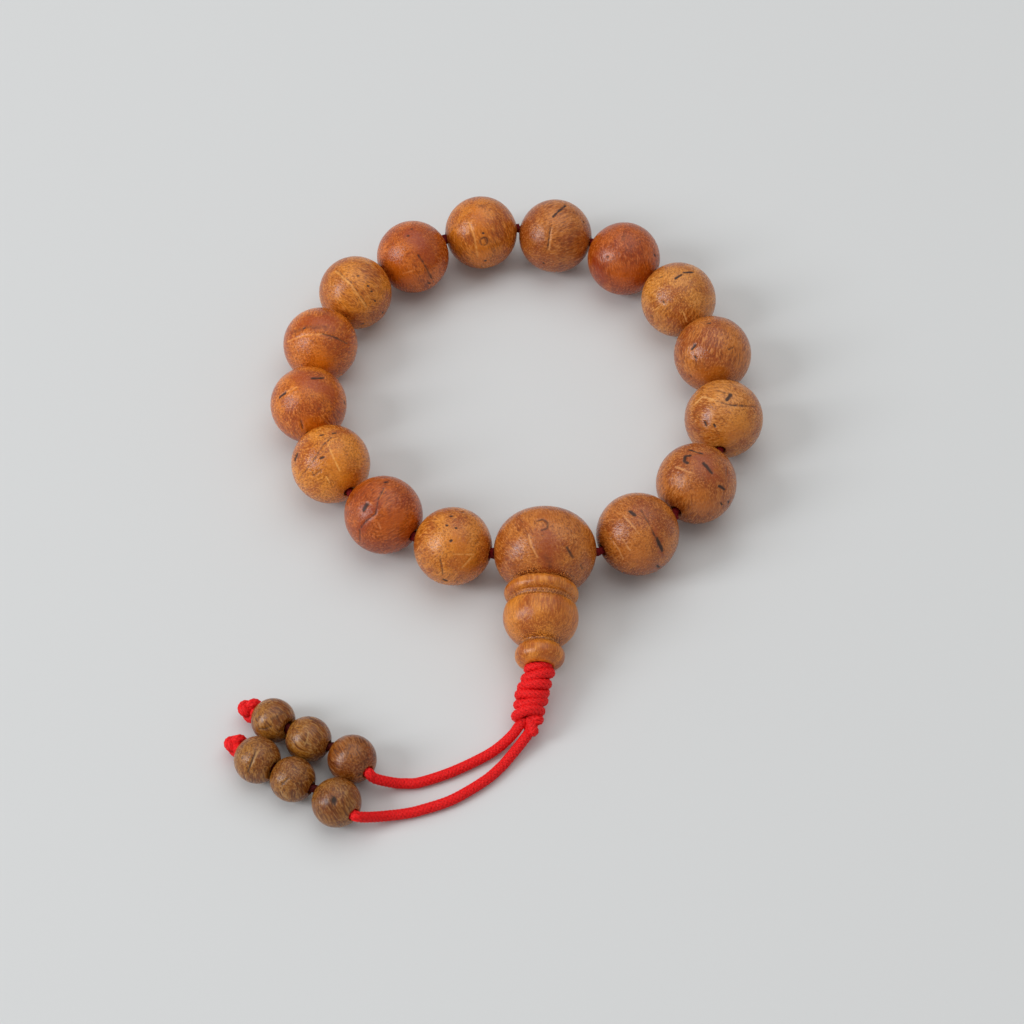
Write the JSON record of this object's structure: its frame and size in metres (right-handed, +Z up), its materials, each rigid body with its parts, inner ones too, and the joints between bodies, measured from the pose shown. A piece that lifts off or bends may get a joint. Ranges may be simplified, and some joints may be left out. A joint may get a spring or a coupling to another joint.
{
  "type": "mala prayer beads",
  "caption": "Loop of round wooden beads on a red braided cord, joined by a guru bead and a turned stupa, with two short beaded tails; worn on the wrist and used to count prayers.",
  "frame": {"origin": "middle of the loop of beads, on the surface that the mala lies on", "axes": "+Z up out of that surface; the guru bead, the stupa and the tails lie towards -Y"},
  "size_m": [0.0799, 0.1123, 0.0136],
  "materials": {
    "bead_brown": "satin, polished by handling",
    "bead_red_brown": "satin, polished by handling",
    "bead_tan": "satin, polished by handling",
    "bead_orange_brown": "satin, polished by handling",
    "bead_red": "satin, polished by handling",
    "bead_golden": "satin, polished by handling",
    "guru_wood": "satin, polished by handling",
    "stupa_wood": "satin, turned, with fuzzy end grain in the grooves",
    "counter_wood": "satin, open linear grain",
    "cord": "round braided thread"
  },
  "bodies": {
    "loop": {"guru_bead": "guru_wood", "loop_cord": "cord", "wrap_knot": "cord"},
    "stupa": {"stupa": "stupa_wood"},
    "bead_01": {"bead_01": "bead_brown"},
    "bead_02": {"bead_02": "bead_red_brown"},
    "bead_03": {"bead_03": "bead_tan"},
    "bead_04": {"bead_04": "bead_orange_brown"},
    "bead_05": {"bead_05": "bead_tan"},
    "bead_06": {"bead_06": "bead_red"},
    "bead_07": {"bead_07": "bead_brown"},
    "bead_08": {"bead_08": "bead_orange_brown"},
    "bead_09": {"bead_09": "bead_red"},
    "bead_10": {"bead_10": "bead_golden"},
    "bead_11": {"bead_11": "bead_red"},
    "bead_12": {"bead_12": "bead_red_brown"},
    "bead_13": {"bead_13": "bead_golden"},
    "bead_14": {"bead_14": "bead_red_brown"},
    "bead_15": {"bead_15": "bead_golden"},
    "upper_tail": {"upper_tail_cord": "cord", "upper_end_knot": "cord"},
    "upper_counter_1": {"upper_counter_1": "counter_wood"},
    "upper_counter_2": {"upper_counter_2": "counter_wood"},
    "upper_counter_3": {"upper_counter_3": "counter_wood"},
    "lower_tail": {"lower_tail_cord": "cord", "lower_end_knot": "cord"},
    "lower_counter_1": {"lower_counter_1": "counter_wood"},
    "lower_counter_2": {"lower_counter_2": "counter_wood"},
    "lower_counter_3": {"lower_counter_3": "counter_wood"}
  },
  "joints": [
    {"name": "stupa_spin", "type": "hinge", "parent": "loop", "child": "stupa", "pos_m": [0.00344, -0.0428, 0.00545], "axis": [-0.0277, -0.9932, -0.1128], "continuous": true},
    {"name": "bead_01_spin", "type": "hinge", "parent": "loop", "child": "bead_01", "pos_m": [0.01806, -0.02746, 0.00625], "axis": [0.875, 0.4834, -0.0247], "continuous": true},
    {"name": "bead_02_spin", "type": "hinge", "parent": "loop", "child": "bead_02", "pos_m": [0.02721, -0.01815, 0.00615], "axis": [0.5429, 0.8398, -0.0059], "continuous": true},
    {"name": "bead_03_spin", "type": "hinge", "parent": "loop", "child": "bead_03", "pos_m": [0.03196, -0.00595, 0.0061], "axis": [0.1432, 0.9897, -0.002], "continuous": true},
    {"name": "bead_04_spin", "type": "hinge", "parent": "loop", "child": "bead_04", "pos_m": [0.0308, 0.00665, 0.0061], "axis": [-0.2476, 0.9689, -0.0041], "continuous": true},
    {"name": "bead_05_spin", "type": "hinge", "parent": "loop", "child": "bead_05", "pos_m": [0.0259, 0.01777, 0.006], "axis": [-0.5632, 0.8263, -0.0084], "continuous": true},
    {"name": "bead_06_spin", "type": "hinge", "parent": "loop", "child": "bead_06", "pos_m": [0.01737, 0.02635, 0.0059], "axis": [-0.8262, 0.5634, -0.0021], "continuous": true},
    {"name": "bead_07_spin", "type": "hinge", "parent": "loop", "child": "bead_07", "pos_m": [0.00631, 0.03113, 0.00595], "axis": [-0.972, 0.2351, 0], "continuous": true},
    {"name": "bead_08_spin", "type": "hinge", "parent": "loop", "child": "bead_08", "pos_m": [-0.00576, 0.03195, 0.0059], "axis": [-0.9832, -0.1823, -0.0043], "continuous": true},
    {"name": "bead_09_spin", "type": "hinge", "parent": "loop", "child": "bead_09", "pos_m": [-0.01679, 0.02685, 0.00585], "axis": [-0.8467, -0.5321, -0.0021], "continuous": true},
    {"name": "bead_10_spin", "type": "hinge", "parent": "loop", "child": "bead_10", "pos_m": [-0.02583, 0.01934, 0.00585], "axis": [-0.6175, -0.7866, 0.0022], "continuous": true},
    {"name": "bead_11_spin", "type": "hinge", "parent": "loop", "child": "bead_11", "pos_m": [-0.03101, 0.00873, 0.0059], "axis": [-0.2779, -0.9606, 0.0043], "continuous": true},
    {"name": "bead_12_spin", "type": "hinge", "parent": "loop", "child": "bead_12", "pos_m": [-0.03232, -0.00309, 0.00595], "axis": [0.1123, -0.9936, 0.0064], "continuous": true},
    {"name": "bead_13_spin", "type": "hinge", "parent": "loop", "child": "bead_13", "pos_m": [-0.02838, -0.01448, 0.00605], "axis": [0.5093, -0.8606, 0], "continuous": true},
    {"name": "bead_14_spin", "type": "hinge", "parent": "loop", "child": "bead_14", "pos_m": [-0.02008, -0.02376, 0.00595], "axis": [0.7839, -0.6209, -0.0062], "continuous": true},
    {"name": "bead_15_spin", "type": "hinge", "parent": "loop", "child": "bead_15", "pos_m": [-0.00954, -0.0294, 0.0059], "axis": [0.959, -0.2814, 0.0336], "continuous": true},
    {"name": "upper_tail_swing", "type": "hinge", "parent": "loop", "child": "upper_tail", "pos_m": [0.00018, -0.05814, 0.00235], "axis": [0, 0, 1], "range_deg": [-35, 0], "deforming": ["upper_tail_cord"]},
    {"name": "upper_counter_1_spin", "type": "hinge", "parent": "upper_tail", "child": "upper_counter_1", "pos_m": [-0.02346, -0.06408, 0.00355], "axis": [-0.6964, 0.6964, -0.1737], "continuous": true},
    {"name": "upper_counter_2_spin", "type": "hinge", "parent": "upper_tail", "child": "upper_counter_2", "pos_m": [-0.02984, -0.06073, 0.00335], "axis": [-0.9205, 0.3907, 0], "continuous": true},
    {"name": "upper_counter_3_spin", "type": "hinge", "parent": "upper_tail", "child": "upper_counter_3", "pos_m": [-0.03504, -0.05762, 0.00325], "axis": [-0.8203, 0.5327, -0.2079], "continuous": true},
    {"name": "lower_tail_swing", "type": "hinge", "parent": "loop", "child": "lower_tail", "pos_m": [0.00173, -0.05844, 0.00195], "axis": [0, 0, 1], "range_deg": [0, 75], "deforming": ["lower_tail_cord"]},
    {"name": "lower_counter_1_spin", "type": "hinge", "parent": "lower_tail", "child": "lower_counter_1", "pos_m": [-0.02537, -0.07095, 0.00355], "axis": [-0.7319, 0.659, -0.1736], "continuous": true},
    {"name": "lower_counter_2_spin", "type": "hinge", "parent": "lower_tail", "child": "lower_counter_2", "pos_m": [-0.03175, -0.06714, 0.0033], "axis": [-0.8824, 0.4692, -0.0349], "continuous": true},
    {"name": "lower_counter_3_spin", "type": "hinge", "parent": "lower_tail", "child": "lower_counter_3", "pos_m": [-0.03691, -0.06406, 0.0034], "axis": [-0.8448, 0.5279, -0.0872], "continuous": true}
  ]
}
